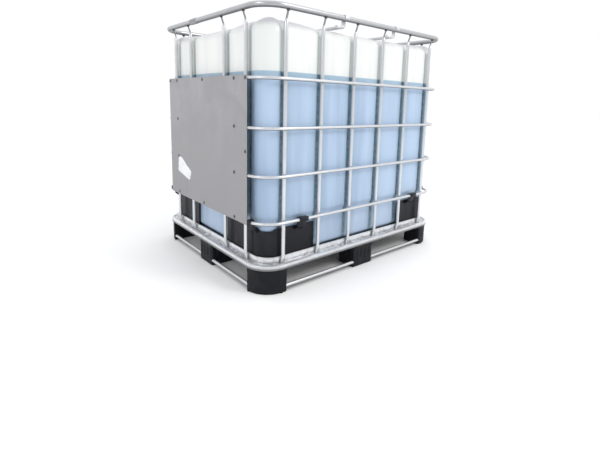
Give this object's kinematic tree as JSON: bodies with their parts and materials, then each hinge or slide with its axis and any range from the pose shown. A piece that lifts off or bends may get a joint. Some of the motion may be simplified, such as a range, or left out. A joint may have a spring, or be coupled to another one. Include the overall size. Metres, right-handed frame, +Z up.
{
  "type": "intermediate bulk container",
  "caption": "Blow-moulded plastic bottle in a welded tube cage on a steel-decked pallet, with a screw filler lid and a bottom discharge valve.",
  "frame": {"origin": "on the floor under the middle of the pallet", "axes": "+X towards the discharge valve, the long way; +Y across the pallet; +Z up"},
  "size_m": [1.2, 1, 1.16],
  "materials": {
    "galvanised_tube": "bright hot-dip galvanised tube, faint spangle, semi-gloss",
    "pressed_steel": "bright galvanised pressed sheet with a fine ribbed flange",
    "zinc_plate": "dull zinc-coated sheet, lightly scuffed",
    "bolt_zinc": "zinc-plated, slightly dark",
    "black_foot": "black moulded plastic, dusty and scuffed",
    "black_guard": "black moulded plastic with a soft sheen",
    "milky_plastic": "translucent milky blow-moulded plastic, pale blue where it is filled",
    "lid_black": "black moulded plastic, satin",
    "red_plastic": "red moulded plastic, satin",
    "valve_white": "off-white moulded plastic, satin",
    "seal_rubber": "black rubber, matt"
  },
  "bodies": {
    "root": {"hoop_1": "galvanised_tube", "hoop_2": "galvanised_tube", "hoop_3": "galvanised_tube", "hoop_4": "galvanised_tube", "top_rim": "galvanised_tube", "post_left_1": "galvanised_tube", "post_left_2": "galvanised_tube", "post_left_3": "galvanised_tube", "post_left_4": "galvanised_tube", "post_left_5": "galvanised_tube", "post_left_6": "galvanised_tube", "post_right_1": "galvanised_tube", "post_right_2": "galvanised_tube", "post_right_3": "galvanised_tube", "post_right_4": "galvanised_tube", "post_right_5": "galvanised_tube", "post_right_6": "galvanised_tube", "post_front_1": "galvanised_tube", "post_front_2": "galvanised_tube", "post_front_3": "galvanised_tube", "post_front_4": "galvanised_tube", "post_rear_1": "galvanised_tube", "post_rear_2": "galvanised_tube", "post_rear_3": "galvanised_tube", "post_rear_4": "galvanised_tube", "cross_bar_front": "galvanised_tube", "cross_bar_rear": "galvanised_tube", "bar_bolt_front_left": "bolt_zinc", "bar_bolt_front_right": "bolt_zinc", "bar_bolt_rear_left": "bolt_zinc", "bar_bolt_rear_right": "bolt_zinc", "label_plate": "zinc_plate", "deck_frame": "pressed_steel", "deck_tray": "pressed_steel", "runner_tube": "galvanised_tube", "foot_front_right": "black_foot", "foot_front_centre": "black_foot", "foot_front_left": "black_foot", "foot_middle_right": "black_foot", "foot_middle_centre": "black_foot", "foot_middle_left": "black_foot", "foot_rear_right": "black_foot", "foot_rear_centre": "black_foot", "foot_rear_left": "black_foot", "bottle": "milky_plastic", "filler_neck": "milky_plastic", "outlet_neck": "milky_plastic", "corner_guard_front_left": "black_guard", "corner_guard_front_right": "black_guard", "corner_guard_rear_left": "black_guard", "corner_guard_rear_right": "black_guard", "valve_body": "valve_white", "valve_lock_ring": "lid_black"},
    "lid_lift_carrier": {"lid_gasket": "seal_rubber"},
    "filler_lid_body": {"filler_lid": "lid_black"},
    "vent_plug_body": {"vent_plug": "red_plastic"},
    "valve_stem_body": {"valve_disc": "lid_black", "valve_lever": "red_plastic"},
    "cap_pull_carrier": {"dust_cap_gasket": "seal_rubber"},
    "dust_cap_body": {"dust_cap": "red_plastic"}
  },
  "joints": [
    {"name": "lid_lift", "type": "slide", "parent": "root", "child": "lid_lift_carrier", "axis": [0, 0, 1], "range_m": [0, 0.15]},
    {"name": "lid_turn", "type": "hinge", "parent": "lid_lift_carrier", "child": "filler_lid_body", "pos_m": [0, 0, 1.126], "axis": [0, 0, 1], "continuous": true},
    {"name": "vent_turn", "type": "hinge", "parent": "filler_lid_body", "child": "vent_plug_body", "pos_m": [0, 0, 1.13], "axis": [0, 0, 1], "continuous": true},
    {"name": "valve_turn", "type": "hinge", "parent": "root", "child": "valve_stem_body", "pos_m": [0.519, 0, 0.192], "axis": [0, 0, -1], "range_deg": [0, 90]},
    {"name": "cap_pull", "type": "slide", "parent": "root", "child": "cap_pull_carrier", "axis": [1, 0, 0], "range_m": [0, 0.06]},
    {"name": "cap_turn", "type": "hinge", "parent": "cap_pull_carrier", "child": "dust_cap_body", "pos_m": [0.545, 0, 0.192], "axis": [1, 0, 0], "continuous": true}
  ]
}
